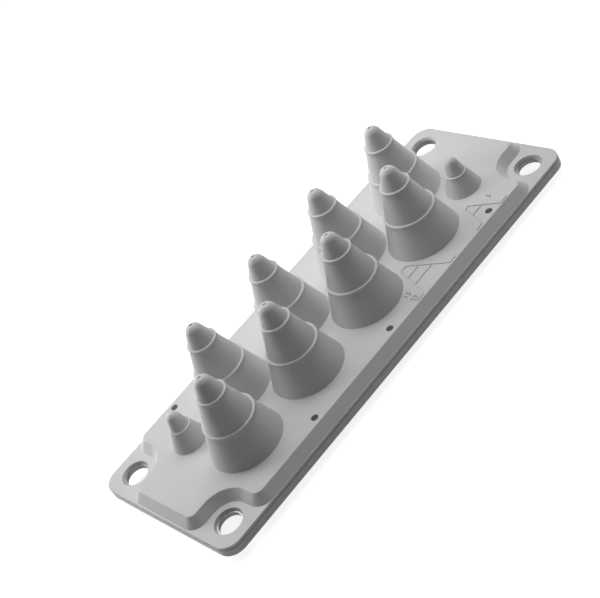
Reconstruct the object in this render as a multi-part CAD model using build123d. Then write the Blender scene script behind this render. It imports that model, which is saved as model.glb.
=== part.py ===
from build123d import *
from math import acos, atan2, cos, degrees, hypot, pi, sin, tan
from typing import NamedTuple
import os

# Cable entry plate: a soft elastomer moulding round a sheet-steel core plate. Two rows of stepped entry
# cones stand on a raised platform, and a cone is cut off at the lip that suits its cable. The plate is
# bolted over an opening in an enclosure wall, with the cones outwards and the collars in the opening.
# Lengths are in millimetres. X runs along the plate, Z points out of the enclosure, and the origin is the
# middle of the plate in the plane of the collar ends.

# Flange
flange_length = 223.0
flange_width = 86.0
flange_thickness = 5.0
flange_corner_radius = 7.5
flange_edge_radius = 0.4

# Parting line that the mould leaves round the flange
parting_line_below_top = 1.8
parting_line_width = 0.3
parting_line_depth = 0.2

# Raised platform, with a drafted wall
platform_height = 4.2
platform_edge_radius = 0.5
platform_wall_run = 3.1
platform_ledge_end = 0.8
platform_ledge_side = 0.8
platform_corner_radius_end = 6.5
platform_corner_radius_side = 7.0

# Fixing holes at the flange's corners
hole_edge_distance = 11.5
hole_radius = 5.2
hole_rim_radius_outside = 6.5
hole_rim_radius_inside = 6.8
hole_ledge = 0.5
notch_foot_radius = 9.1

# Sheet-steel core plate, held inside the flange
core_thickness = 2.0
core_cover_outside = 1.3
core_edge_cover = 3.0
core_corner_radius = 4.5
core_window_length = 176.0
core_window_width = 64.8
core_window_corner_radius = 16.0

# Underside of the flange, from the edge inwards
floor_recess = 0.64
rim_width = 0.9
channel_width = 1.3
channel_depth = 1.0
lip_width = 1.5
lip_proud = 0.2
lip_chamfer = 0.4

# Places of the entry cones: the two rows are one row and its half turn about Z
cone_pitch = 39.2
cones_in_row = 4
row_distance = 27.2
row_shift = 9.8
small_cone_place = 78.1

# All cones
cone_wall = 1.25
lip_step = 0.2

# Large cones: two tapers that each end in a band with a lip, and a domed tip
large_foot_radius = 16.4
large_taper_height = 13.4
large_neck_radius = 11.75
large_band_height = 1.7
large_lip_radius = 11.75
middle_foot_radius = 10.8
middle_taper_height = 12.3
middle_neck_radius = 6.65
middle_band_height = 1.6
middle_lip_radius = 6.7
large_tip_foot_radius = 5.9
large_tip_rise = 4.9
large_tip_radius = 3.85

# Small cones: one taper and a domed tip
small_foot_radius = 8.2
small_taper_height = 8.2
small_neck_radius = 5.1
small_band_height = 0.9
small_lip_radius = 5.05
small_tip_foot_radius = 4.3
small_tip_rise = 4.2
small_tip_radius = 3.05

# Round collars under the cones, which stand in the enclosure's opening
collar_proud = 2.8
large_mouth_radius = 16.14
small_mouth_radius = 7.2
collar_width = 2.15

# Holes that the pins holding the core plate in the mould leave
pin_radius_outside = 1.6
pin_radius_inside = 1.4
pin_edge_distance = 7.1
pin_places = (-48.6, 0.0, 68.3)
end_pin_edge_distance = 7.7

# Heights
rim_z = collar_proud
floor_z = rim_z + floor_recess
flange_z = rim_z + flange_thickness
platform_z = flange_z + platform_height
core_top_z = flange_z - core_cover_outside
core_bottom_z = core_top_z - core_thickness

# How far a cutting solid runs past what it cuts
cut_margin = 1.0


class Stage(NamedTuple):
    """One taper of a cone and the band with a lip that it ends in."""

    foot_radius: float
    taper_height: float
    neck_radius: float
    band_height: float
    lip_radius: float


class Tip(NamedTuple):
    """The domed end of a cone: its rise runs from its foot to the middle of the dome."""

    foot_radius: float
    rise: float
    dome_radius: float


large_stage = Stage(
    large_foot_radius, large_taper_height, large_neck_radius, large_band_height, large_lip_radius
)
middle_stage = Stage(
    middle_foot_radius, middle_taper_height, middle_neck_radius, middle_band_height, middle_lip_radius
)
large_stages = (large_stage, middle_stage)
large_tip = Tip(large_tip_foot_radius, large_tip_rise, large_tip_radius)
small_stage = Stage(
    small_foot_radius, small_taper_height, small_neck_radius, small_band_height, small_lip_radius
)
small_stages = (small_stage,)
small_tip = Tip(small_tip_foot_radius, small_tip_rise, small_tip_radius)


def with_half_turn(places):
    """The places given, and the same ones turned half round Z."""
    return places + [(-x, -y) for x, y in places]


row_y = -row_distance / 2
row_start = -(cones_in_row - 1) / 2 * cone_pitch - row_shift
large_places = with_half_turn([(row_start + i * cone_pitch, row_y) for i in range(cones_in_row)])
small_places = with_half_turn([(small_cone_place, row_y)])
pin_spots = with_half_turn([(x, pin_edge_distance - flange_width / 2) for x in pin_places])
end_pin_spots = with_half_turn([(flange_length / 2 - end_pin_edge_distance, 0.0)])
hole_x = flange_length / 2 - hole_edge_distance
hole_y = flange_width / 2 - hole_edge_distance
hole_places = with_half_turn([(hole_x, -hole_y), (hole_x, hole_y)])


def spread(solid, places):
    """Copies of a solid that stands on the Z axis, one at each place."""
    return [Pos(x, y, 0) * solid for x, y in places]


def slab(outline, bottom, top):
    """A flat outline made solid between two heights."""
    return extrude(Pos(0, 0, bottom) * outline, amount=top - bottom)


def disc(radius, bottom, top):
    """A round slab on the Z axis."""
    return slab(Circle(radius), bottom, top)


def flange_outline(inset=0.0):
    """Rounded rectangle that runs inside the flange's edge, or outside it for a negative inset."""
    length = flange_length - 2 * inset
    width = flange_width - 2 * inset
    return RectangleRounded(length, width, flange_corner_radius - inset)


def edge_ring(inset, width, bottom, top):
    """A ring of even width that runs along the flange's edge."""
    return slab(flange_outline(inset) - flange_outline(inset + width), bottom, top)


def flange():
    """The flange with its rounded edges and the parting line round its side."""
    body = slab(flange_outline(), rim_z, flange_z)
    body = fillet(body.faces().sort_by(Axis.Z)[-1].edges(), flange_edge_radius)
    line_bottom = flange_z - parting_line_below_top - parting_line_width / 2
    line_top = line_bottom + parting_line_width
    return body - edge_ring(-cut_margin, cut_margin + parting_line_depth, line_bottom, line_top)


def platform_outline():
    """Foot of the platform: a rectangle with a rounded notch round each fixing hole."""
    half_length = flange_length / 2 - platform_ledge_end
    half_width = flange_width / 2 - platform_ledge_side
    notch_x = hole_x - notch_foot_radius
    notch_y = hole_y - notch_foot_radius
    notch = Rectangle(2 * (half_length - notch_x), 2 * (half_width - notch_y))
    outline = Rectangle(2 * half_length, 2 * half_width)
    outline -= [Pos(x, y) * notch for x in (-half_length, half_length) for y in (-half_width, half_width)]
    for corner_x, corner_y, radius in (
        (notch_x, notch_y, notch_foot_radius),
        (half_length, notch_y, platform_corner_radius_end),
        (notch_x, half_width, platform_corner_radius_side),
    ):
        corners = [
            outline.vertices().sort_by_distance((side_x * corner_x, side_y * corner_y, 0))[0]
            for side_x in (-1, 1)
            for side_y in (-1, 1)
        ]
        outline = fillet(corners, radius)
    return outline


def platform():
    """The raised platform with its drafted wall and rounded top edge."""
    draft = degrees(atan2(platform_wall_run, platform_height))
    body = extrude(Pos(0, 0, flange_z) * platform_outline(), amount=platform_height, taper=draft)
    return fillet(body.faces().sort_by(Axis.Z)[-1].edges(), platform_edge_radius)


def sealing_lip():
    """The lip that runs round the underside and is pressed on the enclosure."""
    lip = edge_ring(rim_width + channel_width, lip_width, rim_z - lip_proud, core_bottom_z)
    return chamfer(lip.faces().sort_by(Axis.Z)[0].edges(), lip_chamfer)


def foot_heights(stages):
    """Height of each stage's foot, and last the height of the tip's foot."""
    heights = [platform_z]
    for stage in stages:
        heights.append(heights[-1] + stage.taper_height + stage.band_height + lip_step)
    return heights


def stage_lean(stage):
    """Angle between a stage's taper and the Z axis."""
    return atan2(stage.foot_radius - stage.neck_radius, stage.taper_height)


def tip_lean(tip):
    """Angle between the Z axis and a taper that runs smoothly from the tip's foot into its dome."""
    foot_distance = hypot(tip.foot_radius, tip.rise)
    return acos(tip.dome_radius / foot_distance) - atan2(tip.rise, tip.foot_radius)


def cone(stages, tip):
    """One entry cone before it is hollowed, turned from half its section."""
    heights = foot_heights(stages)
    dome_z = heights[-1] + tip.rise
    points = [(0, flange_z), (stages[0].foot_radius, flange_z)]
    for stage, z in zip(stages, heights):
        neck_z = z + stage.taper_height
        points += [(stage.foot_radius, z), (stage.neck_radius, neck_z)]
        points.append((stage.lip_radius, neck_z + stage.band_height))
    points.append((tip.foot_radius, heights[-1]))

    def on_dome(angle):
        return (tip.dome_radius * cos(angle), dome_z + tip.dome_radius * sin(angle))

    lean = tip_lean(tip)
    side = Polyline(*points, on_dome(lean))
    dome = ThreePointArc(on_dome(lean), on_dome((lean + pi / 2) / 2), on_dome(pi / 2))
    section = make_face([side, dome, Line(on_dome(pi / 2), points[0])])
    return revolve(Plane.XZ * section, axis=Axis.Z)


def hollow(mouth_radius, stages, tip):
    """The space inside a cone and its collar: a straight mouth, then an even wall in every taper."""
    heights = foot_heights(stages)
    tip_end = heights[-1] + tip.rise
    tapers = [(stage.foot_radius, z, stage_lean(stage)) for stage, z in zip(stages, heights)]
    tapers.append((tip.foot_radius, heights[-1], tip_lean(tip)))
    tops = [z - cone_wall for z in heights[1:]] + [tip_end]

    def inside(taper, level):
        foot_radius, foot_z, lean = taper
        return (foot_radius - cone_wall / cos(lean) - (level - foot_z) * tan(lean), level)

    widening = mouth_radius - inside(tapers[0], platform_z)[0]
    bottom = platform_z - widening / tan(tapers[0][2])
    points = [(0, -cut_margin), (mouth_radius, -cut_margin)]
    for taper, top in zip(tapers, tops):
        points += [inside(taper, bottom), inside(taper, top)]
        bottom = top
    points.append((0, tip_end))
    return revolve(Plane.XZ * make_face(Polyline(*points, close=True)), axis=Axis.Z)


def collar(mouth_radius):
    """One collar, solid until it is hollowed with its cone."""
    return disc(mouth_radius + collar_width, 0, core_bottom_z)


def hole_opening():
    """The opening in the moulding round one fixing hole: it narrows to a ledge at the core plate."""
    ledge_radius = hole_radius + hole_ledge
    section = Polyline(
        (0, floor_z - cut_margin),
        (hole_rim_radius_inside, floor_z - cut_margin),
        (hole_rim_radius_inside, floor_z),
        (ledge_radius, core_bottom_z),
        (ledge_radius, core_top_z),
        (hole_rim_radius_outside, flange_z),
        (hole_rim_radius_outside, flange_z + cut_margin),
        (0, flange_z + cut_margin),
        close=True,
    )
    return revolve(Plane.XZ * make_face(section), axis=Axis.Z)


def core_plate():
    """Flat steel frame with a window round all the cones and a bore at each fixing hole."""
    outline = RectangleRounded(
        flange_length - 2 * core_edge_cover, flange_width - 2 * core_edge_cover, core_corner_radius
    )
    outline -= RectangleRounded(core_window_length, core_window_width, core_window_corner_radius)
    outline -= spread(Circle(hole_radius), hole_places)
    return slab(outline, core_bottom_z, core_top_z)


def sealing_body():
    """The elastomer moulding with all its cones and collars, open where the core plate lies."""
    body = flange() + platform()
    body += spread(cone(large_stages, large_tip), large_places)
    body += spread(cone(small_stages, small_tip), small_places)
    body -= slab(flange_outline(rim_width), rim_z - cut_margin, floor_z)
    body -= edge_ring(rim_width, channel_width, rim_z - cut_margin, rim_z + channel_depth)
    body += sealing_lip()
    body += spread(collar(large_mouth_radius), large_places)
    body += spread(collar(small_mouth_radius), small_places)
    body -= spread(hollow(large_mouth_radius, large_stages, large_tip), large_places)
    body -= spread(hollow(small_mouth_radius, small_stages, small_tip), small_places)
    body -= spread(hole_opening(), hole_places)
    body -= spread(disc(pin_radius_outside, core_top_z, platform_z + cut_margin), pin_spots)
    body -= spread(disc(pin_radius_inside, 0, core_bottom_z), pin_spots + end_pin_spots)
    return body - core_plate()


os.makedirs("parts", exist_ok=True)
export_step(sealing_body(), "parts/sealing_body.step")
export_step(core_plate(), "parts/core_plate.step")
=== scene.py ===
import math
from typing import NamedTuple

import bmesh
import bpy
from bpy.props import FloatProperty, FloatVectorProperty, IntProperty, PointerProperty
from mathutils import Matrix, Vector


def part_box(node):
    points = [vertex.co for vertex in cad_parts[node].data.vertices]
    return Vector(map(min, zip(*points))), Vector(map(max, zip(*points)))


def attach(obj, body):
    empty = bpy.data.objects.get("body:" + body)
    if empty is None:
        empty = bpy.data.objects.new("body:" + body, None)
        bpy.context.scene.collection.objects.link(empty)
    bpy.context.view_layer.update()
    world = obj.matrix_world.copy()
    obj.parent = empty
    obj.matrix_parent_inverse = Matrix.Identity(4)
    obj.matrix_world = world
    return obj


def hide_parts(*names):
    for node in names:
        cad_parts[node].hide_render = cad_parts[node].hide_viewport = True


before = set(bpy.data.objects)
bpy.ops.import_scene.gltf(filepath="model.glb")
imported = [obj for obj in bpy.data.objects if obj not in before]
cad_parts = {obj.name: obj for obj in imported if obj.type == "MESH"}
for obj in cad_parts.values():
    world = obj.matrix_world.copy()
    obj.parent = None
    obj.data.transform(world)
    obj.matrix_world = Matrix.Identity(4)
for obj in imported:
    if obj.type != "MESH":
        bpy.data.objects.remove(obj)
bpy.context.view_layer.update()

bl_info = {
    "name": "Cable Entry Plate",
    "version": (1, 0, 0),
    "blender": (4, 5, 0),
    "location": "View3D > Sidebar > Cable Entry",
    "description": "Moulded cable entry plate with stepped cones on a steel core, with its studio stage",
    "category": "Add Mesh",
}

MM = 0.001
MOULDING_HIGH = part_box("sealing_body")[1]
CORE_LOW, CORE_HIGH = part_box("core_plate")


def size(name, description, millimetres):
    """A length that a user can change, given here in millimetres."""
    return FloatProperty(
        name=name, description=description, default=millimetres * MM, min=0.0, unit="LENGTH", precision=5
    )


def level(name, description, value):
    """A plain number that a user can change."""
    return FloatProperty(
        name=name, description=description, default=value, min=0.0, soft_max=1.0, subtype="FACTOR"
    )


def power(name, description, watts):
    """A lamp's power that a user can change."""
    return FloatProperty(name=name, description=description, default=watts, min=0.0, unit="POWER")


def colour(name, description, value):
    """A colour that a user can change."""
    return FloatVectorProperty(
        name=name, description=description, default=value, size=4, min=0.0, max=1.0, subtype="COLOR"
    )


class FlangeSizes(bpy.types.PropertyGroup):
    """Sizes of the flange with its rim and sealing lip, and of the platform with its notches."""

    cover: size("Cover", "From the core plate's top to the flange's top", 1.3)
    thickness: size("Flange thickness", "From the rim's underside to the flange's top", 5.0)
    corner_radius: size("Corner radius", "Radius of the flange's corners, seen from above", 7.5)
    edge_radius: size("Edge radius", "Rounding of the flange's top edge", 0.3)
    rim_edge_radius: size("Rim edge radius", "Rounding of the flange's bottom edge", 0.2)
    parting_drop: size("Parting line drop", "Depth of the parting line below the flange's top", 1.45)
    parting_width: size("Parting line width", "Width of the parting line", 0.42)
    parting_depth: size("Parting line depth", "Depth of the parting line", 0.35)
    rim_width: size("Rim width", "Width of the rim that frames the underside", 0.9)
    channel_width: size("Channel width", "Width of the channel beside the rim", 1.3)
    channel_depth: size("Channel depth", "Depth of that channel from the rim", 1.0)
    lip_width: size("Lip width", "Width of the sealing lip", 1.5)
    lip_proud: size("Lip height", "How far the sealing lip stands out past the rim", 0.2)
    lip_radius: size("Lip radius", "Rounding of the sealing lip", 0.55)
    floor_recess: size("Floor recess", "Depth of the floor from the rim", 0.64)
    platform_height: size("Platform height", "Height of the platform above the flange", 4.2)
    platform_run: size("Platform wall run", "Width of the platform's drafted wall, seen from above", 3.4)
    platform_edge_radius: size("Platform edge radius", "Rounding of the platform's top edge", 0.5)
    end_ledge: size("End ledge", "Flange left flat beside the platform's foot at the ends", 0.65)
    side_ledge: size("Side ledge", "Flange left flat beside the platform's foot at the sides", 0.3)
    end_corner_radius: size("End corner radius", "Foot radius of the platform's corners at the ends", 6.5)
    side_corner_radius: size("Side corner radius", "Foot radius of the platform's corners at the sides", 7.0)
    notch_radius: size("Notch radius", "Foot radius of the notch round a fixing hole", 9.3)


class HoleSizes(bpy.types.PropertyGroup):
    """Sizes of the openings that the moulding leaves round the fixing holes."""

    spacing_along: size("Spacing along", "Distance of the fixing holes along the plate", 200.0)
    spacing_across: size("Spacing across", "Distance of the fixing holes across the plate", 63.0)
    ledge_radius: size("Ledge radius", "Radius of the opening where it meets the core plate", 5.6)
    rim_radius: size("Rim radius", "Radius of the opening at the flange's top", 6.4)
    floor_radius: size("Floor radius", "Radius of the opening at the floor", 6.8)
    edge_radius: size("Edge radius", "Rounding of the opening's edges", 0.2)


class LargeConeSizes(bpy.types.PropertyGroup):
    """Sizes of the large cones: two tapers that each end in a band with a lip, and a dimpled tip."""

    foot_1: size("First foot radius", "Radius where the cone meets the platform", 16.4)
    taper_1: size("First taper height", "Height of the first taper", 13.4)
    neck_1: size("First neck radius", "Radius where the first taper meets its band", 11.65)
    band_1: size("First band height", "Height of the first band", 1.7)
    lip_1: size("First lip radius", "Radius of the first lip", 11.8)
    foot_2: size("Second foot radius", "Radius at the foot of the second taper", 10.8)
    taper_2: size("Second taper height", "Height of the second taper", 12.3)
    neck_2: size("Second neck radius", "Radius where the second taper meets its band", 6.65)
    band_2: size("Second band height", "Height of the second band", 1.6)
    lip_2: size("Second lip radius", "Radius of the second lip", 6.82)
    tip_foot: size("Tip foot radius", "Radius at the foot of the tip", 5.9)
    tip_rise: size("Tip rise", "From the tip's foot to the middle of its dome", 4.9)
    tip_radius: size("Tip radius", "Radius of the dome", 3.85)
    mouth: size("Mouth radius", "Radius of the hollow at the collar's end", 16.14)
    rounding: size("Neck rounding", "Rounding between a taper and its band", 6.0)
    tip_flat: size("Tip flat radius", "Radius of the small flat at the tip", 1.4)
    dimple_radius: size("Dimple radius", "Radius of the dimple in that flat", 0.85)
    dimple_depth: size("Dimple depth", "Depth of that dimple", 0.5)


class SmallConeSizes(bpy.types.PropertyGroup):
    """Sizes of the small cones: one taper that ends in a band with a lip, and a domed tip."""

    foot_1: size("Foot radius", "Radius where the cone meets the platform", 8.2)
    taper_1: size("Taper height", "Height of the taper", 8.2)
    neck_1: size("Neck radius", "Radius where the taper meets its band", 4.98)
    band_1: size("Band height", "Height of the band", 0.9)
    lip_1: size("Lip radius", "Radius of the lip", 5.1)
    tip_foot: size("Tip foot radius", "Radius at the foot of the tip", 4.3)
    tip_rise: size("Tip rise", "From the tip's foot to the middle of its dome", 4.2)
    tip_radius: size("Tip radius", "Radius of the dome", 3.05)
    mouth: size("Mouth radius", "Radius of the hollow at the collar's end", 7.2)
    rounding: size("Neck rounding", "Rounding between a taper and its band", 1.6)


class ConeLayout(bpy.types.PropertyGroup):
    """Places of the cones, and the sizes that all of them share."""

    pitch: size("Pitch", "Distance of the large cones in a row", 39.2)
    row_distance: size("Row distance", "Distance of the two rows", 27.2)
    row_shift: size("Row shift", "Shift of each row along the plate, from the middle", 9.8)
    small_place: size("Small cone place", "From the plate's middle to the small cones, along it", 78.1)
    wall: size("Wall", "Wall of the cones", 1.25)
    lip_step: size("Lip step", "Height from a lip to the foot of the next taper", 0.2)
    root_radius: size("Root radius", "Rounding between a cone and the platform", 0.4)
    bead: size("Bead height", "Height of the bead that stands out at the top of a band", 0.45)
    lip_radius: size("Lip rounding", "Rounding of a cone's lips", 0.2)
    step_radius: size("Step rounding", "Rounding at the foot of each step", 0.12)
    collar_width: size("Collar width", "Width of a collar's end", 2.15)
    collar_edge_radius: size("Collar edge radius", "Rounding of a collar's outer edge", 0.5)
    mouth_edge_radius: size("Mouth edge radius", "Rounding of a collar's inner edge", 0.4)
    steps: IntProperty(name="Steps", description="Steps in one turn of a cone", default=80, min=12, max=256)


class MarkSizes(bpy.types.PropertyGroup):
    """Sizes of what is sunk into the moulding: pin holes, cutting diagrams, plain numbers and rings."""

    pin_radius: size("Pin radius", "Radius of the pin holes in the platform", 1.6)
    pin_edge_distance: size("Pin distance", "From the flange's side to the pins", 7.1)
    end_pin_distance: size("End pin distance", "From the flange's end to the end pins", 7.7)
    floor_pin_radius: size("Floor pin radius", "Radius of the pin holes in the floor", 1.4)
    line_width: size("Line width", "Width of the diagrams' lines", 0.55)
    line_depth: size("Line depth", "Depth of the lines, the numbers and the rings", 0.35)
    number_height: size("Number height", "Height of the plain numbers beside the diagrams", 3.6)
    number_weight: size("Number weight", "What is added to each side of the numbers' strokes", 0.06)
    ring_radius: size("Ring radius", "Radius of the outer ring of the insert mark", 5.2)
    ring_gap: size("Ring gap", "Distance between the two rings of the insert mark", 2.0)
    ring_width: size("Ring width", "Width of the rings", 0.4)


class FinishColours(bpy.types.PropertyGroup):
    """Colours of the two materials."""

    elastomer: colour("Elastomer", "Colour of the moulding", (0.62, 0.62, 0.62, 1.0))
    steel: colour("Steel", "Colour of the core plate's faces", (0.36, 0.36, 0.36, 1.0))
    # Darker colour of the core plate's upright faces: painted shade in the bores, partly the punched edge's
    # own tone
    steel_edge: colour("Steel edge", "Colour of the core plate's punched edges", (0.14, 0.14, 0.14, 1.0))


class StageSettings(bpy.types.PropertyGroup):
    """The floor and the light."""

    floor_size: size("Floor size", "Side of the floor", 4000.0)
    floor: colour("Floor", "Colour of the floor", (0.65, 0.65, 0.65, 1.0))
    floor_glow: level("Floor glow", "What the floor adds for the camera to be white where it is lit", 0.85)
    key: power("Key lamp", "Power of the low lamp at the back", 1.4)
    back: power("Back lamp", "Power of the high lamp at the back", 0.66)
    top: power("Top lamp", "Power of the lamp above", 1.1)
    side: power("Side lamp", "Power of the low lamp at the far end", 0.34)
    lamp_side: size("Lamp side", "Side of the square lamps", 280.0)
    lamp_distance: size("Lamp distance", "Distance of the lamps from the middle of the plate", 500.0)
    fill: level("Fill", "Light that comes from all round", 0.05)


class CableEntrySettings(bpy.types.PropertyGroup):
    """All settings of the cable entry plate."""

    flange: PointerProperty(type=FlangeSizes)
    holes: PointerProperty(type=HoleSizes)
    large: PointerProperty(type=LargeConeSizes)
    small: PointerProperty(type=SmallConeSizes)
    layout: PointerProperty(type=ConeLayout)
    marks: PointerProperty(type=MarkSizes)
    finish: PointerProperty(type=FinishColours)
    stage: PointerProperty(type=StageSettings)


# Camera: the photograph looks down on the plate, turned round its line of sight
IMAGE_WIDTH = 600
FOCAL_LENGTH_PIXELS = 1495.5
SENSOR_WIDTH = 36.0
CAMERA_PLACE = Vector((-0.21843, -0.45224, 0.37945))
CAMERA_AZIMUTH = math.radians(24.852)
CAMERA_ELEVATION = math.radians(35.233)
CAMERA_ROLL = math.radians(-33.747)
CAMERA_SHIFT_PIXELS = (-0.5, 0.6)

# How far a cutting shape runs past what it cuts, how deep a pin hole runs into the core plate's face,
# how far a collar's root stays below that plate, and how a turned shape leaves a surface it is rounded into
MARGIN = 1.0 * MM
SLIP = 0.1 * MM
CORE_GAP = 0.3 * MM
FLARE = 0.6 * MM
FLARE_SLOPE = 0.33

# Steps of a quarter turn where it shows and where it hardly does, the fewest that any rounding has, then the
# steps of a dome, of whole turns and of a curve in a number
ARC_STEPS = 5
COARSE_ARC_STEPS = 3
LEAST_ARC_STEPS = 2
DOME_STEPS = 10
HOLE_STEPS = 64
RING_STEPS = 48
PIN_STEPS = 32
NUMBER_STEPS = 3

# Angle of one step where a section is led round a corner, the fewest steps there, and the angle from which
# an edge stays sharp
SWEEP_STEP = math.radians(6.0)
LEAST_SWEEP_STEPS = 3
SMOOTH_ANGLE = math.radians(32)

# Points that lie this close are one, in a turned shape and in a swept one, whose ends meet less exactly
MERGE_DISTANCE = 1e-7
SWEEP_MERGE_DISTANCE = 1e-6

# Large cones in a row, the radius of a dimple's bottom as a share of its top's, and a pin hole's rounding
CONES_IN_ROW = 4
DIMPLE_SHARE = 0.6
PIN_EDGE_RADIUS = 0.15 * MM

# Places of the pins along the plate, and of the insert mark on the floor
PIN_PLACES = (-48.6 * MM, 0.0, 68.3 * MM)
RING_PLACE = (-100.8 * MM, -14.4 * MM)

# Cutting diagrams, in millimetres: the outline of half a cone at each side, then the cuts across it
LARGE_DIAGRAM = (
    ((16.2, -38.2), (20.5, -38.0), (27.1, -19.6), (28.0, -18.8), (30.7, -18.8), (38.0, -38.0), (41.9, -38.2)),
    ((25.8, -24.7), (32.7, -24.6)),
    ((23.5, -30.6), (34.8, -30.5)),
)
SMALL_DIAGRAM = (
    ((57.3, -38.1), (61.3, -37.8), (65.8, -24.9), (66.6, -24.3), (68.3, -24.2), (73.6, -38.5), (77.7, -38.5)),
    ((64.3, -30.3), (70.4, -30.2)),
)
NUMBERS = (("15", (17.2, -31.3)), ("23", (16.8, -35.8)), ("5", (76.0, -30.0)))

# Lamps, each with the direction and the height it shines from in degrees, and the point they are aimed at
LAMPS = (("key", 120.0, 20.0), ("back", 90.0, 60.0), ("top", 30.0, 70.0), ("side", 0.0, 20.0))
LAMP_AIM = Vector((0.0, 0.0, 0.02))

# Most of a noise texture lies in this range of its values
NOISE_LOW = 0.3
NOISE_HIGH = 0.7

# Sockets of a Mix node for colours, by number because its sockets for other values have the same names
MIX_FACTOR = 0
MIX_FIRST = 6
MIX_SECOND = 7
MIX_RESULT = 2


class Levels(NamedTuple):
    """Heights of the moulding."""

    rim: float
    floor: float
    flange: float
    platform: float


def levels(flange):
    """Heights worked out from the core plate, which the moulding covers."""
    top = CORE_HIGH.z + flange.cover
    rim = top - flange.thickness
    return Levels(rim, rim + flange.floor_recess, top, top + flange.platform_height)


def with_half_turn(places):
    """The places given, and the same ones turned half round Z."""
    return places + [(-x, -y) for x, y in places]


def large_places(layout):
    """Middles of the large cones."""
    middle = (CONES_IN_ROW - 1) / 2
    return with_half_turn([
        ((step - middle) * layout.pitch - layout.row_shift, -layout.row_distance / 2)
        for step in range(CONES_IN_ROW)
    ])


def small_places(layout):
    """Middles of the small cones."""
    return with_half_turn([(layout.small_place, -layout.row_distance / 2)])


def cones(settings):
    """Each kind of cone with its places."""
    return (
        (settings.large, large_places(settings.layout)),
        (settings.small, small_places(settings.layout)),
    )


def hole_places(holes):
    """Middles of the fixing holes."""
    x, y = holes.spacing_along / 2, holes.spacing_across / 2
    return with_half_turn([(x, -y), (x, y)])


def pin_places(marks):
    """Middles of the pins beside the cones."""
    return with_half_turn([(x, marks.pin_edge_distance - MOULDING_HIGH.y) for x in PIN_PLACES])


def rounded(points, steps=ARC_STEPS):
    """Points of an open outline in which a corner that has a third value is rounded to that radius.

    A quarter turn gets the number of steps given, and a smaller turn gets fewer.
    """
    outline = []
    for index, point in enumerate(points):
        here = Vector(point[:2])
        if len(point) < 3 or index in (0, len(points) - 1):
            outline.append(here)
            continue
        before = (Vector(points[index - 1][:2]) - here).normalized()
        after = (Vector(points[index + 1][:2]) - here).normalized()
        half = before.angle(after) / 2
        reach = point[2] / math.tan(half)
        if reach > min((Vector(points[place][:2]) - here).length for place in (index - 1, index + 1)):
            raise RuntimeError(f"a rounding of {point[2]:.5f} m does not fit its outline")
        centre = here + (before + after).normalized() * point[2] / math.sin(half)
        start = here + before * reach - centre
        turn = start.angle_signed(here + after * reach - centre)
        count = max(LEAST_ARC_STEPS, math.ceil(steps * abs(turn) * 2 / math.pi))
        for step in range(count + 1):
            arm = start.copy()
            arm.rotate(Matrix.Rotation(-turn * step / count, 2))
            outline.append(centre + arm)
    return outline


def new_piece(name, bm):
    """A new object from a bmesh, with its doubles merged and its faces pointing outwards."""
    bmesh.ops.remove_doubles(bm, verts=bm.verts, dist=MERGE_DISTANCE)
    bmesh.ops.recalc_face_normals(bm, faces=bm.faces)
    mesh = bpy.data.meshes.new(name)
    bm.to_mesh(mesh)
    bm.free()
    piece = bpy.data.objects.new(name, mesh)
    bpy.context.scene.collection.objects.link(piece)
    return piece


def wire(bm, points, closed=False):
    """A chain of vertices and edges through the points, as a list that the bmesh operators take."""
    verts = [bm.verts.new(point) for point in points]
    edges = [bm.edges.new(pair) for pair in zip(verts, verts[1:])]
    if closed:
        edges.append(bm.edges.new((verts[-1], verts[0])))
    return verts + edges


def turned(name, points, steps, place=(0.0, 0.0), closed=False):
    """A solid turned about a vertical axis from radius and height points, which end on the axis or close."""
    bm = bmesh.new()
    section = wire(bm, [(radius, 0.0, height) for radius, height in points], closed)
    bmesh.ops.spin(
        bm, geom=section, cent=(0, 0, 0), axis=(0, 0, 1), angle=math.tau, steps=steps, use_merge=True
    )
    bmesh.ops.remove_doubles(bm, verts=bm.verts, dist=MERGE_DISTANCE)
    bmesh.ops.translate(bm, verts=bm.verts, vec=(*place, 0.0))
    return new_piece(name, bm)


def far_end(geometry):
    """The vertices that an extrusion made, and the edges that run between them."""
    verts = [item for item in geometry if isinstance(item, bmesh.types.BMVert)]
    made = set(verts)
    edges = [item for item in geometry if isinstance(item, bmesh.types.BMEdge)]
    edges = [edge for edge in edges if made.issuperset(edge.verts)]
    return verts, edges


def swept(name, section, start, path):
    """A solid whose side is a section of outward and height points that is led round a closed path.

    The path starts at a point, heads along +X and turns left where an angle is positive. It holds the
    length of each straight run and the radius and angle of each turn. Both ends of the section are capped.
    """
    bm = bmesh.new()
    place = Vector((*start, 0.0))
    heading = 0.0
    chain = wire(bm, [place + Vector((0.0, -out, height)) for out, height in section])
    for radius, amount in path:
        ahead = Vector((math.cos(heading), math.sin(heading), 0.0))
        if radius is None:
            edges = [item for item in chain if isinstance(item, bmesh.types.BMEdge)]
            verts, edges = far_end(bmesh.ops.extrude_edge_only(bm, edges=edges)["geom"])
            bmesh.ops.translate(bm, verts=verts, vec=ahead * amount)
            chain = verts + edges
            place = place + ahead * amount
            continue
        centre = place + Vector((-ahead.y, ahead.x, 0.0)) * math.copysign(radius, amount)
        steps = max(LEAST_SWEEP_STEPS, round(abs(amount) / SWEEP_STEP))
        made = bmesh.ops.spin(bm, geom=chain, cent=centre, axis=(0, 0, 1), angle=amount, steps=steps)
        chain = made["geom_last"]
        place = centre + Matrix.Rotation(amount, 3, "Z") @ (place - centre)
        heading += amount
    bmesh.ops.remove_doubles(bm, verts=bm.verts, dist=SWEEP_MERGE_DISTANCE)
    bmesh.ops.holes_fill(bm, edges=[edge for edge in bm.edges if edge.is_boundary], sides=0)
    return new_piece(name, bm)


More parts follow.
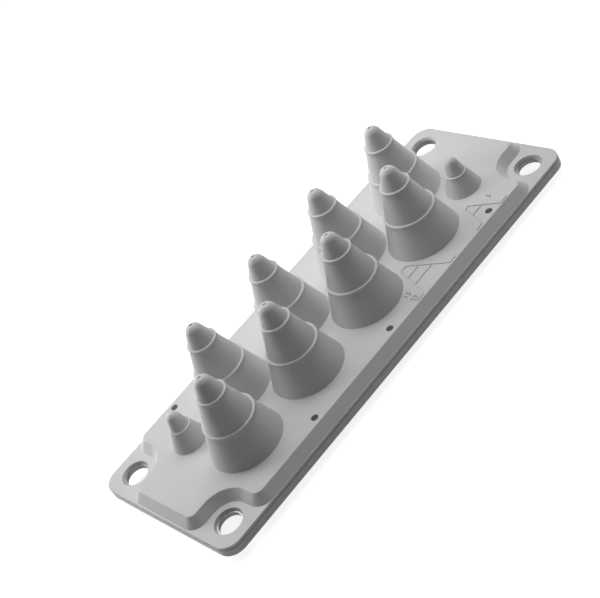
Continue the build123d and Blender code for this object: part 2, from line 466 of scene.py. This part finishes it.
def joined_to(piece, others, operation):
    """The piece after the others are added to it or cut from it, which has to be a closed solid.

    The others are used up.
    """
    group = bpy.data.collections.new("operands")
    for other in others:
        group.objects.link(other)
    modifier = piece.modifiers.new("join", "BOOLEAN")
    modifier.operation = operation
    modifier.operand_type = "COLLECTION"
    modifier.collection = group
    modifier.solver = "EXACT"
    bpy.context.view_layer.update()
    mesh = bpy.data.meshes.new_from_object(piece.evaluated_get(bpy.context.evaluated_depsgraph_get()))
    piece.modifiers.clear()
    old, piece.data = piece.data, mesh
    bpy.data.meshes.remove(old)
    for other in others:
        bpy.data.meshes.remove(other.data)
    bpy.data.collections.remove(group)
    bm = bmesh.new()
    bm.from_mesh(mesh)
    closed = all(edge.is_manifold for edge in bm.edges)
    bm.free()
    if not mesh.polygons or not closed:
        raise RuntimeError(f"{piece.name} is not a closed solid after {operation}")
    return piece


def flange_solid(flange, z):
    """The flange with its rim, channel and sealing lip, led round the plate's outline."""
    half_line = flange.parting_width / 2
    line = z.flange - flange.parting_drop
    channel = flange.rim_width + flange.channel_width
    inner = channel + flange.lip_width
    lip = z.rim - flange.lip_proud
    section = rounded([
        (-inner, z.flange), (0, z.flange, flange.edge_radius),
        (0, line + half_line), (-flange.parting_depth, line + half_line),
        (-flange.parting_depth, line - half_line), (0, line - half_line),
        (0, z.rim, flange.rim_edge_radius), (-flange.rim_width, z.rim),
        (-flange.rim_width, z.rim + flange.channel_depth), (-channel, z.rim + flange.channel_depth),
        (-channel, lip, flange.lip_radius), (-inner, lip, flange.lip_radius),
        (-inner, z.floor),
    ])
    half_x, half_y, corner = MOULDING_HIGH.x, MOULDING_HIGH.y, flange.corner_radius
    turn = (corner, math.pi / 2)
    path = [(None, 2 * (half_x - corner)), turn, (None, 2 * (half_y - corner)), turn] * 2
    return swept("flange", section, (corner - half_x, -half_y), path)


def platform_solid(flange, holes, z):
    """The platform with its drafted wall, led round an outline that has a notch at each fixing hole."""
    run = flange.platform_run
    section = rounded([
        (-run - 2 * flange.platform_edge_radius, z.platform), (-run, z.platform, flange.platform_edge_radius),
        (0, z.flange), (0, z.flange - MARGIN / 2),
    ])
    half_x = MOULDING_HIGH.x - flange.end_ledge
    half_y = MOULDING_HIGH.y - flange.side_ledge
    notch, side, end = flange.notch_radius, flange.side_corner_radius, flange.end_corner_radius
    notch_x = holes.spacing_along / 2 - notch
    notch_y = holes.spacing_across / 2 - notch
    along = half_x - notch_x - notch - end
    across = half_y - notch_y - notch - side
    left, right = math.pi / 2, -math.pi / 2
    half_path = [
        (None, 2 * (notch_x - side)),
        (side, left), (None, across), (notch, right), (None, along), (end, left),
        (None, 2 * (notch_y - end)),
        (end, left), (None, along), (notch, right), (None, across), (side, left),
    ]
    return swept("platform", section, (side - notch_x, -half_y), half_path * 2)


def stages(cone):
    """Foot radius, taper height, neck radius, band height and lip radius of each taper of a cone."""
    numbers = (1, 2) if hasattr(cone, "foot_2") else (1,)
    return [
        tuple(getattr(cone, f"{part}_{number}") for part in ("foot", "taper", "neck", "band", "lip"))
        for number in numbers
    ]


def tip_lean(cone):
    """Angle between the vertical and the tip's taper, which runs smoothly into its dome."""
    reach = math.hypot(cone.tip_foot, cone.tip_rise)
    return math.acos(cone.tip_radius / reach) - math.atan2(cone.tip_rise, cone.tip_foot)


def dome(radius, middle, first, last):
    """Points of a round end of a section, from one angle above the level to another."""
    angles = [first + (last - first) * step / DOME_STEPS for step in range(DOME_STEPS + 1)]
    return [(radius * math.cos(angle), middle + radius * math.sin(angle)) for angle in angles]


def cone_points(cone, layout, z):
    """Half the section of a cone's outside, from a foot that is sunk in the platform to its tip.

    The tip is a plain dome, or has a small flat with a dimple where the cone has a size for it.
    """
    foot = cone.foot_1 + 2 * FLARE
    points = [(0, z.flange), (foot, z.flange), (foot, z.platform - 2 * FLARE * FLARE_SLOPE)]
    base = z.platform
    rounding = layout.root_radius
    for foot, taper, neck, band, lip in stages(cone):
        points.append((foot, base, rounding))
        top = base + taper + band
        points.append((neck, base + taper, cone.rounding))
        points.append((neck, top - layout.bead, layout.step_radius))
        points.append((lip, top - layout.bead + (lip - neck) / 2, layout.step_radius / 2))
        points.append((lip, top, layout.lip_radius))
        base += taper + band + layout.lip_step
        rounding = layout.step_radius
    points.append((cone.tip_foot, base, rounding))
    top = base + cone.tip_rise
    if not hasattr(cone, "dimple_radius"):
        return rounded(points + dome(cone.tip_radius, top, tip_lean(cone), math.pi / 2))
    crown = dome(cone.tip_radius, top, tip_lean(cone), math.acos(cone.tip_flat / cone.tip_radius))
    flat = crown[-1][1]
    bottom = flat - cone.dimple_depth
    rim, inner = cone.dimple_radius, cone.dimple_radius * DIMPLE_SHARE
    return rounded(points + crown) + [Vector(point) for point in ((rim, flat), (inner, bottom), (0, bottom))]


def hollow_points(cone, layout, z):
    """Half the section of the space in a cone and its collar: a straight mouth, then an even wall."""
    base = z.platform
    tapers = []
    for foot, taper, neck, band, _ in stages(cone):
        tapers.append((foot, base, math.atan2(foot - neck, taper)))
        base += taper + band + layout.lip_step
    tapers.append((cone.tip_foot, base, tip_lean(cone)))
    tops = [start - layout.wall for _, start, _ in tapers[1:]] + [base + cone.tip_rise]

    def inside(taper, height):
        foot, start, lean = taper
        return foot - layout.wall / math.cos(lean) - (height - start) * math.tan(lean)

    bottom = z.platform - (cone.mouth - inside(tapers[0], z.platform)) / math.tan(tapers[0][2])
    outer = cone.mouth + 2 * FLARE
    points = [(0, -MARGIN), (outer, -MARGIN), (outer, -2 * FLARE * FLARE_SLOPE)]
    points.append((cone.mouth, 0, layout.mouth_edge_radius))
    for taper, top in zip(tapers, tops):
        points += [(inside(taper, bottom), bottom), (inside(taper, top), top)]
        bottom = top
    points.append((0, bottom))
    return rounded(points, COARSE_ARC_STEPS)


def collar_points(cone, layout, z):
    """Half the section of a collar, whose root flares into the floor."""
    outer = cone.mouth + layout.collar_width
    above = CORE_LOW.z - CORE_GAP
    return rounded([
        (0, 0), (outer, 0, layout.collar_edge_radius), (outer, z.floor, layout.step_radius * 2),
        (outer + FLARE, z.floor + FLARE * FLARE_SLOPE), (outer + FLARE, above), (0, above),
    ])


def hole_points(holes, z):
    """Half the section of the opening round a fixing hole, which narrows to a ledge on the core plate."""
    drop = FLARE * FLARE_SLOPE
    return rounded([
        (0, z.floor - drop), (holes.floor_radius + FLARE, z.floor - drop),
        (holes.floor_radius, z.floor, holes.edge_radius),
        (holes.ledge_radius, CORE_LOW.z), (holes.ledge_radius, CORE_HIGH.z),
        (holes.rim_radius, z.flange, holes.edge_radius),
        (holes.rim_radius + FLARE, z.flange + drop), (0, z.flange + drop),
    ])


def pin_points(radius, surface, end):
    """Half the section of a pin's hole, from the surface that it is sunk in to the core plate."""
    away = math.copysign(FLARE * FLARE_SLOPE, surface - end)
    return rounded([
        (0, surface + away), (radius + FLARE, surface + away), (radius, surface, PIN_EDGE_RADIUS),
        (radius, end), (0, end),
    ], COARSE_ARC_STEPS)


def stroke(name, start, end, width, z, depth):
    """A straight groove between two points, which stands out above the surface that it is cut into."""
    run = Vector(end) - Vector(start)
    middle = (Vector(start) + Vector(end)) / 2
    turn = Matrix.Rotation(math.atan2(run.y, run.x), 3, "Z")
    bm = bmesh.new()
    bmesh.ops.create_cube(bm, size=1.0)
    bmesh.ops.scale(bm, verts=bm.verts, vec=(run.length + width, width, depth + MARGIN))
    bmesh.ops.rotate(bm, verts=bm.verts, cent=(0, 0, 0), matrix=turn)
    bmesh.ops.translate(bm, verts=bm.verts, vec=(*middle, z + (MARGIN - depth) / 2))
    return new_piece(name, bm)


def diagram_strokes(marks, z):
    """The lines of the cutting diagrams, which stand beside one row of cones."""
    strokes = []
    for lines in (LARGE_DIAGRAM, SMALL_DIAGRAM):
        for line in lines:
            points = [Vector(point) * MM for point in line]
            strokes += [
                stroke("diagram_line", start, end, marks.line_width, z.platform, marks.line_depth)
                for start, end in zip(points, points[1:])
            ]
    return strokes


def number(text, place, marks, z):
    """A plain number that is cut into the platform, made a mesh before it is put in place."""
    curve = bpy.data.curves.new("number", "FONT")
    curve.body = text
    curve.size = marks.number_height
    curve.align_x = "CENTER"
    curve.align_y = "CENTER"
    curve.extrude = (marks.line_depth + MARGIN) / 2
    curve.offset = marks.number_weight
    curve.resolution_u = NUMBER_STEPS
    lettering = bpy.data.objects.new("number", curve)
    bpy.context.scene.collection.objects.link(lettering)
    bpy.context.view_layer.update()
    mesh = bpy.data.meshes.new_from_object(lettering.evaluated_get(bpy.context.evaluated_depsgraph_get()))
    bpy.data.curves.remove(curve)
    bm = bmesh.new()
    bm.from_mesh(mesh)
    bpy.data.meshes.remove(mesh)
    height = z.platform + (MARGIN - marks.line_depth) / 2
    bmesh.ops.translate(bm, verts=bm.verts, vec=(place[0] * MM, place[1] * MM, height))
    return new_piece("number", bm)


def insert_rings(marks, z):
    """The two plain rings that the mould's round insert leaves on the floor."""
    half = marks.ring_width / 2
    rings = []
    for radius in (marks.ring_radius, marks.ring_radius - marks.ring_gap):
        points = [
            (radius - half, z.floor - MARGIN), (radius + half, z.floor - MARGIN),
            (radius + half, z.floor + marks.line_depth), (radius - half, z.floor + marks.line_depth),
        ]
        rings.append(turned("insert_ring", points, RING_STEPS, RING_PLACE, closed=True))
    return rings


def added_solids(settings, z):
    """What is added to the flange: the platform, and each cone with its collar."""
    solids = [platform_solid(settings.flange, settings.holes, z)]
    steps = settings.layout.steps
    for cone, places in cones(settings):
        for place in places:
            solids.append(turned("cone", cone_points(cone, settings.layout, z), steps, place))
            solids.append(turned("collar", collar_points(cone, settings.layout, z), steps, place))
    return solids


def cut_solids(settings, z):
    """What is cut from the moulding: the hollows, the openings, the pin holes and the other marks."""
    marks, steps = settings.marks, settings.layout.steps
    solids = []
    for cone, places in cones(settings):
        section = hollow_points(cone, settings.layout, z)
        solids += [turned("hollow", section, steps, place) for place in places]
    for place in hole_places(settings.holes):
        solids.append(turned("opening", hole_points(settings.holes, z), HOLE_STEPS, place))
    for place in pin_places(marks):
        section = pin_points(marks.pin_radius, z.platform, CORE_HIGH.z - SLIP)
        solids.append(turned("platform_pin", section, PIN_STEPS, place))
    ends = with_half_turn([(MOULDING_HIGH.x - marks.end_pin_distance, 0.0)])
    for place in pin_places(marks) + ends:
        section = pin_points(marks.floor_pin_radius, z.floor, CORE_LOW.z + SLIP)
        solids.append(turned("floor_pin", section, PIN_STEPS, place))
    lines = diagram_strokes(marks, z)
    lines += [number(text, place, marks, z) for text, place in NUMBERS]
    return solids + lines + insert_rings(marks, z)


def smooth(piece):
    """Smooth shading that keeps the piece's sharp edges, with its flat faces kept flat."""
    piece.data.shade_smooth()
    piece.data.set_sharp_from_angle(angle=SMOOTH_ANGLE)
    modifier = piece.modifiers.new("weighted normals", "WEIGHTED_NORMAL")
    modifier.keep_sharp = True


class Nodes:
    """Short ways to add and join the nodes of one material."""

    def __init__(self, name):
        self.material = bpy.data.materials.new(name)
        self.material.use_nodes = True
        self.tree = self.material.node_tree
        self.shader = self.tree.nodes["Principled BSDF"]
        self.place = self.add("ShaderNodeTexCoord").outputs["Object"]

    def add(self, kind, **values):
        """A new node, with its settings and its fixed inputs."""
        node = self.tree.nodes.new(kind)
        for name, value in values.items():
            if hasattr(node, name):
                setattr(node, name, value)
            else:
                node.inputs[name.replace("_", " ").title()].default_value = value
        return node

    def join(self, output, socket):
        """A link from one socket to another."""
        self.tree.links.new(output, socket)

    def noise(self, scale, detail, stretch=(1.0, 1.0, 1.0)):
        """Noise on the piece's own coordinates."""
        mapping = self.add("ShaderNodeMapping")
        mapping.inputs["Scale"].default_value = stretch
        texture = self.add("ShaderNodeTexNoise", scale=scale, detail=detail)
        self.join(self.place, mapping.inputs["Vector"])
        self.join(mapping.outputs["Vector"], texture.inputs["Vector"])
        return texture.outputs["Fac"]

    def ranged(self, noise, low=0.0, high=1.0):
        """A noise whose usual range is taken to another one."""
        node = self.add(
            "ShaderNodeMapRange", from_min=NOISE_LOW, from_max=NOISE_HIGH, to_min=low, to_max=high
        )
        self.join(noise, node.inputs["Value"])
        return node.outputs["Result"]

    def toned(self, factor, base, spread):
        """A colour that is darker or lighter than the base by a share of it."""
        mix = self.add("ShaderNodeMix", data_type="RGBA")
        for socket, share in ((MIX_FIRST, 1 - spread), (MIX_SECOND, 1 + spread)):
            mix.inputs[socket].default_value = (*[part * share for part in base[:3]], 1.0)
        self.join(factor, mix.inputs[MIX_FACTOR])
        return mix.outputs[MIX_RESULT]

    def bump(self, height, strength, distance, under=None):
        """A bump on the shader's normal, over another one where there is one."""
        node = self.add("ShaderNodeBump", strength=strength, distance=distance)
        self.join(height, node.inputs["Height"])
        if under is not None:
            self.join(under, node.inputs["Normal"])
        return node.outputs["Normal"]


def elastomer_material(base):
    """Matte moulded elastomer: an even grey with a fine grain and a faint, slow change of tone."""
    nodes = Nodes("elastomer")
    shader = nodes.shader
    shader.inputs["Specular IOR Level"].default_value = 0.3
    slow = nodes.ranged(nodes.noise(scale=35.0, detail=4.0))
    nodes.join(nodes.toned(slow, base, spread=0.025), shader.inputs["Base Color"])
    grain = nodes.noise(scale=2600.0, detail=2.0)
    nodes.join(nodes.ranged(grain, low=0.5, high=0.6), shader.inputs["Roughness"])
    coarse = nodes.bump(nodes.noise(scale=500.0, detail=3.0), strength=0.06, distance=0.2 * MM)
    fine = nodes.bump(grain, strength=0.12, distance=0.05 * MM, under=coarse)
    nodes.join(fine, shader.inputs["Normal"])
    return nodes.material


def steel_material(face, edge):
    """Bare sheet steel with fine marks from rolling, and darker on its upright faces: painted shade in the
    bores, partly the punched edge's own duller tone.
    """
    nodes = Nodes("core_steel")
    shader = nodes.shader
    shader.inputs["Metallic"].default_value = 1.0
    rolled = nodes.noise(scale=900.0, detail=4.0, stretch=(0.05, 1.0, 1.0))
    slow = nodes.ranged(nodes.noise(scale=120.0, detail=3.0))
    normal = nodes.add("ShaderNodeSeparateXYZ")
    nodes.join(nodes.add("ShaderNodeNewGeometry").outputs["True Normal"], normal.inputs[0])
    # Upright faces such as the bore walls take the darker colour: painted shade, partly the punched edge's
    # own tone
    level_share = nodes.add("ShaderNodeMath", operation="ABSOLUTE")
    nodes.join(normal.outputs["Z"], level_share.inputs[0])
    mix = nodes.add("ShaderNodeMix", data_type="RGBA")
    nodes.join(level_share.outputs[0], mix.inputs[MIX_FACTOR])
    nodes.join(nodes.toned(slow, edge, spread=0.2), mix.inputs[MIX_FIRST])
    nodes.join(nodes.toned(slow, face, spread=0.06), mix.inputs[MIX_SECOND])
    nodes.join(mix.outputs[MIX_RESULT], shader.inputs["Base Color"])
    nodes.join(nodes.ranged(rolled, low=0.18, high=0.34), shader.inputs["Roughness"])
    nodes.join(nodes.bump(rolled, strength=0.15, distance=0.1 * MM), shader.inputs["Normal"])
    return nodes.material


def floor_material(settings):
    """Pale floor that is white for the camera where it is lit, and keeps the object's shadow."""
    nodes = Nodes("floor")
    shader = nodes.shader
    mottled = nodes.ranged(nodes.noise(scale=8.0, detail=4.0))
    nodes.join(nodes.toned(mottled, settings.floor, spread=0.01), shader.inputs["Base Color"])
    shader.inputs["Roughness"].default_value = 0.9
    shader.inputs["Specular IOR Level"].default_value = 0.0
    path = nodes.add("ShaderNodeLightPath")
    seen = nodes.add("ShaderNodeMath", operation="MAXIMUM")
    nodes.join(path.outputs["Is Camera Ray"], seen.inputs[0])
    nodes.join(path.outputs["Is Glossy Ray"], seen.inputs[1])
    glow = nodes.add("ShaderNodeMath", operation="MULTIPLY")
    glow.inputs[1].default_value = settings.floor_glow
    nodes.join(seen.outputs[0], glow.inputs[0])
    shader.inputs["Emission Color"].default_value = (1.0, 1.0, 1.0, 1.0)
    nodes.join(glow.outputs[0], shader.inputs["Emission Strength"])
    return nodes.material


def set_world(fill):
    """Even light from all round, behind which the camera, gloss and glass see plain white."""
    world = bpy.data.worlds.new("studio")
    bpy.context.scene.world = world
    world.use_nodes = True
    tree = world.node_tree
    background = tree.nodes["Background"]
    background.inputs["Color"].default_value = (1.0, 1.0, 1.0, 1.0)
    path = tree.nodes.new("ShaderNodeLightPath")
    seen = path.outputs["Is Camera Ray"]
    for ray in ("Is Glossy Ray", "Is Transmission Ray"):
        either = tree.nodes.new("ShaderNodeMath")
        either.operation = "MAXIMUM"
        tree.links.new(seen, either.inputs[0])
        tree.links.new(path.outputs[ray], either.inputs[1])
        seen = either.outputs[0]
    strength = tree.nodes.new("ShaderNodeMapRange")
    strength.inputs["To Min"].default_value = fill
    strength.inputs["To Max"].default_value = 1.0
    tree.links.new(seen, strength.inputs["Value"])
    tree.links.new(strength.outputs["Result"], background.inputs["Strength"])


def soft_lamp(name, settings, direction, height):
    """A square lamp that points at the middle of the plate, from a direction and a height in degrees."""
    light = bpy.data.lights.new(name, "AREA")
    light.shape = "SQUARE"
    light.size = settings.lamp_side
    light.energy = getattr(settings, name)
    lamp = bpy.data.objects.new(f"{name}_lamp", light)
    bpy.context.scene.collection.objects.link(lamp)
    turn, rise = math.radians(direction), math.radians(height)
    away = Vector((math.cos(turn) * math.cos(rise), math.sin(turn) * math.cos(rise), math.sin(rise)))
    lamp.location = away * settings.lamp_distance
    lamp.rotation_euler = (LAMP_AIM - lamp.location).to_track_quat("-Z", "Y").to_euler()


def set_camera():
    """The photograph's camera."""
    data = bpy.data.cameras.new("camera")
    data.sensor_width = SENSOR_WIDTH
    data.sensor_fit = "HORIZONTAL"
    data.lens = FOCAL_LENGTH_PIXELS * SENSOR_WIDTH / IMAGE_WIDTH
    data.shift_x, data.shift_y = (shift / IMAGE_WIDTH for shift in CAMERA_SHIFT_PIXELS)
    camera = bpy.data.objects.new("camera", data)
    bpy.context.scene.collection.objects.link(camera)
    facing = (
        Matrix.Rotation(-CAMERA_AZIMUTH, 4, "Z")
        @ Matrix.Rotation(math.pi / 2 - CAMERA_ELEVATION, 4, "X")
        @ Matrix.Rotation(CAMERA_ROLL, 4, "Z")
    )
    camera.matrix_world = Matrix.Translation(CAMERA_PLACE) @ facing
    bpy.context.scene.camera = camera


class CABLEENTRY_OT_moulding(bpy.types.Operator):
    """Model the elastomer moulding with its cones, collars, openings and marks"""

    bl_idname = "cable_entry.moulding"
    bl_label = "Moulding"

    def execute(self, context):
        settings = context.scene.cable_entry
        z = levels(settings.flange)
        piece = flange_solid(settings.flange, z)
        joined_to(piece, added_solids(settings, z), "UNION")
        joined_to(piece, cut_solids(settings, z), "DIFFERENCE")
        piece.name = piece.data.name = "moulding"
        smooth(piece)
        piece.data.materials.clear()
        piece.data.materials.append(elastomer_material(settings.finish.elastomer))
        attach(piece, "root")
        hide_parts("sealing_body")
        return {"FINISHED"}


class CABLEENTRY_OT_core_plate(bpy.types.Operator):
    """Give the core plate its steel finish"""

    bl_idname = "cable_entry.core_plate"
    bl_label = "Core plate"

    def execute(self, context):
        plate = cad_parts["core_plate"]
        finish = context.scene.cable_entry.finish
        steel = steel_material(finish.steel, finish.steel_edge)
        for material_slot in plate.material_slots:
            material_slot.material = steel
        return {"FINISHED"}


class CABLEENTRY_OT_stage(bpy.types.Operator):
    """Set up the floor, the light and the camera"""

    bl_idname = "cable_entry.stage"
    bl_label = "Stage"

    def execute(self, context):
        settings = context.scene.cable_entry.stage
        context.scene.view_settings.view_transform = "Standard"
        bm = bmesh.new()
        bmesh.ops.create_grid(bm, x_segments=1, y_segments=1, size=settings.floor_size / 2)
        floor = new_piece("floor", bm)
        floor.data.materials.append(floor_material(settings))
        set_world(settings.fill)
        for name, direction, height in LAMPS:
            soft_lamp(name, settings, direction, height)
        set_camera()
        return {"FINISHED"}


OPERATORS = (CABLEENTRY_OT_moulding, CABLEENTRY_OT_core_plate, CABLEENTRY_OT_stage)
GROUPS = (
    FlangeSizes, HoleSizes, LargeConeSizes, SmallConeSizes, ConeLayout, MarkSizes, FinishColours,
    StageSettings, CableEntrySettings,
)


class CABLEENTRY_PT_panel(bpy.types.Panel):
    """Panel that lists the settings and the steps"""

    bl_idname = "CABLEENTRY_PT_panel"
    bl_label = "Cable Entry Plate"
    bl_space_type = "VIEW_3D"
    bl_region_type = "UI"
    bl_category = "Cable Entry"

    def draw(self, context):
        settings = context.scene.cable_entry
        for operator in OPERATORS:
            self.layout.operator(operator.bl_idname)
        for name in CableEntrySettings.__annotations__:
            box = self.layout.box()
            box.label(text=name.capitalize())
            group = getattr(settings, name)
            for part in type(group).__annotations__:
                box.prop(group, part)


def register():
    """Make the classes and the settings known to Blender."""
    for part in GROUPS + OPERATORS + (CABLEENTRY_PT_panel,):
        bpy.utils.register_class(part)
    bpy.types.Scene.cable_entry = PointerProperty(type=CableEntrySettings)


def unregister():
    """Take the settings and the classes away again."""
    del bpy.types.Scene.cable_entry
    for part in reversed(GROUPS + OPERATORS + (CABLEENTRY_PT_panel,)):
        bpy.utils.unregister_class(part)


def main():
    """Build the plate and its stage."""
    register()
    bpy.ops.cable_entry.moulding()
    bpy.ops.cable_entry.core_plate()
    bpy.ops.cable_entry.stage()


if __name__ == "__main__":
    main()
